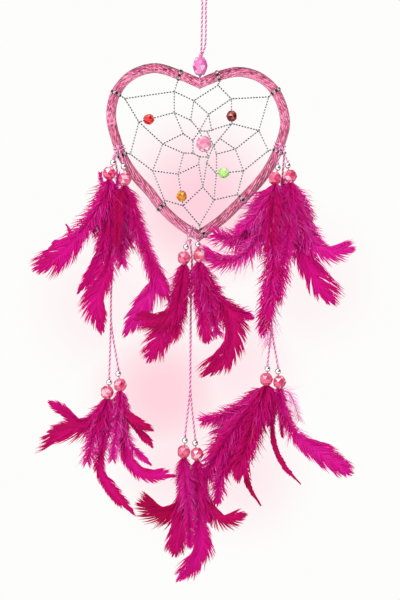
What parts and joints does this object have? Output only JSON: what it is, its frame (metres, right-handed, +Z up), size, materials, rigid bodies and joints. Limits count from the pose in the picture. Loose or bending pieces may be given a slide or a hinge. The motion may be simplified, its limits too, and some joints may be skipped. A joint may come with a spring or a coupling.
{
  "type": "dream catcher",
  "caption": "Heart-shaped wrapped ring with a knotted thread web and beads, hung by a cord loop, with bead and feather tassels on short and long cords.",
  "frame": {"origin": "inside top of the hanging loop, where the hook goes", "axes": "+Z up, X to the right seen from the front, -Y towards the viewer"},
  "size_m": [0.2064, 0.0161, 0.4004],
  "materials": {
    "cord": "twisted polyester cord, satin",
    "top_bead": "clear faceted acrylic",
    "frame_wire": "bare wire, hidden",
    "frame_wrap": "closely wound satin thread",
    "web_thread": "metallised twisted thread",
    "bead_red": "clear faceted acrylic",
    "bead_garnet": "clear faceted acrylic",
    "bead_green": "clear faceted acrylic",
    "bead_orange": "clear faceted acrylic",
    "bead_centre": "clear faceted acrylic",
    "pink_beads": "clear faceted acrylic",
    "silver_beads": "metallised, mirror bright",
    "feathers": "dyed down and vane, matt with a slight sheen"
  },
  "bodies": {
    "hanger": {"hanging_cord": "cord"},
    "top_bead": {"top_bead": "top_bead"},
    "heart": {"frame_core": "frame_wire", "frame_wrap": "frame_wrap", "top_tie": "cord", "web": "web_thread", "left_upper_cord": "cord", "bottom_upper_cord": "cord", "right_upper_cord": "cord", "left_hitch": "cord", "bottom_hitch": "cord", "right_hitch": "cord"},
    "left_upper_a_tassel": {"left_upper_a_silver_bead": "silver_beads", "left_upper_a_pink_bead": "pink_beads", "left_upper_a_feathers": "feathers"},
    "left_upper_b_tassel": {"left_upper_b_silver_bead": "silver_beads", "left_upper_b_pink_bead": "pink_beads", "left_upper_b_feathers": "feathers"},
    "left_drop": {"left_drop_cord": "cord"},
    "left_lower_a_tassel": {"left_lower_a_silver_bead": "silver_beads", "left_lower_a_pink_bead": "pink_beads", "left_lower_a_feathers": "feathers"},
    "left_lower_b_tassel": {"left_lower_b_silver_bead": "silver_beads", "left_lower_b_pink_bead": "pink_beads", "left_lower_b_feathers": "feathers"},
    "bottom_upper_a_tassel": {"bottom_upper_a_silver_bead": "silver_beads", "bottom_upper_a_pink_bead": "pink_beads", "bottom_upper_a_feathers": "feathers"},
    "bottom_upper_b_tassel": {"bottom_upper_b_silver_bead": "silver_beads", "bottom_upper_b_pink_bead": "pink_beads", "bottom_upper_b_feathers": "feathers"},
    "bottom_drop": {"bottom_drop_cord": "cord"},
    "bottom_lower_a_tassel": {"bottom_lower_a_silver_bead": "silver_beads", "bottom_lower_a_pink_bead": "pink_beads", "bottom_lower_a_feathers": "feathers"},
    "bottom_lower_b_tassel": {"bottom_lower_b_silver_bead": "silver_beads", "bottom_lower_b_pink_bead": "pink_beads", "bottom_lower_b_feathers": "feathers"},
    "right_upper_a_tassel": {"right_upper_a_silver_bead": "silver_beads", "right_upper_a_pink_bead": "pink_beads", "right_upper_a_feathers": "feathers"},
    "right_upper_b_tassel": {"right_upper_b_silver_bead": "silver_beads", "right_upper_b_pink_bead": "pink_beads", "right_upper_b_feathers": "feathers"},
    "right_drop": {"right_drop_cord": "cord"},
    "right_lower_a_tassel": {"right_lower_a_silver_bead": "silver_beads", "right_lower_a_pink_bead": "pink_beads", "right_lower_a_feathers": "feathers"},
    "right_lower_b_tassel": {"right_lower_b_silver_bead": "silver_beads", "right_lower_b_pink_bead": "pink_beads", "right_lower_b_feathers": "feathers"},
    "red_bead": {"bead_red": "bead_red"},
    "garnet_bead": {"bead_garnet": "bead_garnet"},
    "green_bead": {"bead_green": "bead_green"},
    "orange_bead": {"bead_orange": "bead_orange"},
    "centre_bead": {"bead_centre": "bead_centre"}
  },
  "joints": [
    {"name": "heart_swing", "type": "hinge", "parent": "hanger", "child": "top_bead", "pos_m": [-0.0036, 0, -0.0513], "axis": [0, 1, 0], "range_deg": [-30, 30]},
    {"name": "heart_turn", "type": "hinge", "parent": "top_bead", "child": "heart", "pos_m": [-0.00365, 0, -0.0633], "axis": [0, 0, 1], "continuous": true},
    {"name": "left_upper_a_swing", "type": "hinge", "parent": "heart", "child": "left_upper_a_tassel", "pos_m": [-0.06136, -0.00635, -0.11988], "axis": [1, 0, 0], "range_deg": [-35, 30]},
    {"name": "left_upper_b_swing", "type": "hinge", "parent": "heart", "child": "left_upper_b_tassel", "pos_m": [-0.05436, -0.00635, -0.12248], "axis": [1, 0, 0], "range_deg": [-35, 15]},
    {"name": "left_drop_swing", "type": "hinge", "parent": "heart", "child": "left_drop", "pos_m": [-0.06078, 0.0016, -0.1173], "axis": [1, 0, 0], "range_deg": [-10, 30]},
    {"name": "left_lower_a_swing", "type": "hinge", "parent": "left_drop", "child": "left_lower_a_tassel", "pos_m": [-0.06428, 0.0015, -0.266], "axis": [1, 0, 0], "range_deg": [-35, 35]},
    {"name": "left_lower_b_swing", "type": "hinge", "parent": "left_drop", "child": "left_lower_b_tassel", "pos_m": [-0.05818, 0.0015, -0.2602], "axis": [1, 0, 0], "range_deg": [-35, 35]},
    {"name": "bottom_upper_a_swing", "type": "hinge", "parent": "heart", "child": "bottom_upper_a_tassel", "pos_m": [-0.01289, -0.00635, -0.17585], "axis": [1, 0, 0], "range_deg": [-35, 30]},
    {"name": "bottom_upper_b_swing", "type": "hinge", "parent": "heart", "child": "bottom_upper_b_tassel", "pos_m": [-0.00509, -0.00635, -0.17425], "axis": [1, 0, 0], "range_deg": [-35, 30]},
    {"name": "bottom_drop_swing", "type": "hinge", "parent": "heart", "child": "bottom_drop", "pos_m": [-0.0105, 0.0016, -0.17381], "axis": [1, 0, 0], "range_deg": [-10, 30]},
    {"name": "bottom_lower_a_swing", "type": "hinge", "parent": "bottom_drop", "child": "bottom_lower_a_tassel", "pos_m": [-0.0137, 0.0015, -0.30491], "axis": [1, 0, 0], "range_deg": [-35, 35]},
    {"name": "bottom_lower_b_swing", "type": "hinge", "parent": "bottom_drop", "child": "bottom_lower_b_tassel", "pos_m": [-0.0069, 0.0015, -0.30651], "axis": [1, 0, 0], "range_deg": [-35, 35]},
    {"name": "right_upper_a_swing", "type": "hinge", "parent": "heart", "child": "right_upper_a_tassel", "pos_m": [0.04801, -0.00635, -0.1232], "axis": [1, 0, 0], "range_deg": [-35, 20]},
    {"name": "right_upper_b_swing", "type": "hinge", "parent": "heart", "child": "right_upper_b_tassel", "pos_m": [0.05451, -0.00635, -0.1217], "axis": [1, 0, 0], "range_deg": [-35, 30]},
    {"name": "right_drop_swing", "type": "hinge", "parent": "heart", "child": "right_drop", "pos_m": [0.05268, 0.0016, -0.11537], "axis": [1, 0, 0], "range_deg": [-10, 30]},
    {"name": "right_lower_a_swing", "type": "hinge", "parent": "right_drop", "child": "right_lower_a_tassel", "pos_m": [0.04138, 0.0015, -0.25697], "axis": [1, 0, 0], "range_deg": [-35, 35]},
    {"name": "right_lower_b_swing", "type": "hinge", "parent": "right_drop", "child": "right_lower_b_tassel", "pos_m": [0.04838, 0.0015, -0.25877], "axis": [1, 0, 0], "range_deg": [-35, 35]},
    {"name": "red_bead_spin", "type": "hinge", "parent": "heart", "child": "red_bead", "pos_m": [-0.03783, 0, -0.09288], "axis": [0.9661, 0, 0.2582], "continuous": true},
    {"name": "garnet_bead_spin", "type": "hinge", "parent": "heart", "child": "garnet_bead", "pos_m": [0.01746, 0, -0.09074], "axis": [0.0216, 0, -0.9998], "continuous": true},
    {"name": "green_bead_spin", "type": "hinge", "parent": "heart", "child": "green_bead", "pos_m": [0.01214, 0, -0.1286], "axis": [0.9948, 0, 0.1018], "continuous": true},
    {"name": "orange_bead_spin", "type": "hinge", "parent": "heart", "child": "orange_bead", "pos_m": [-0.01591, 0, -0.1441], "axis": [0.1558, 0, -0.9878], "continuous": true},
    {"name": "centre_bead_spin", "type": "hinge", "parent": "heart", "child": "centre_bead", "pos_m": [-0.00105, 0, -0.10927], "axis": [0.3161, 0, -0.9487], "continuous": true}
  ]
}
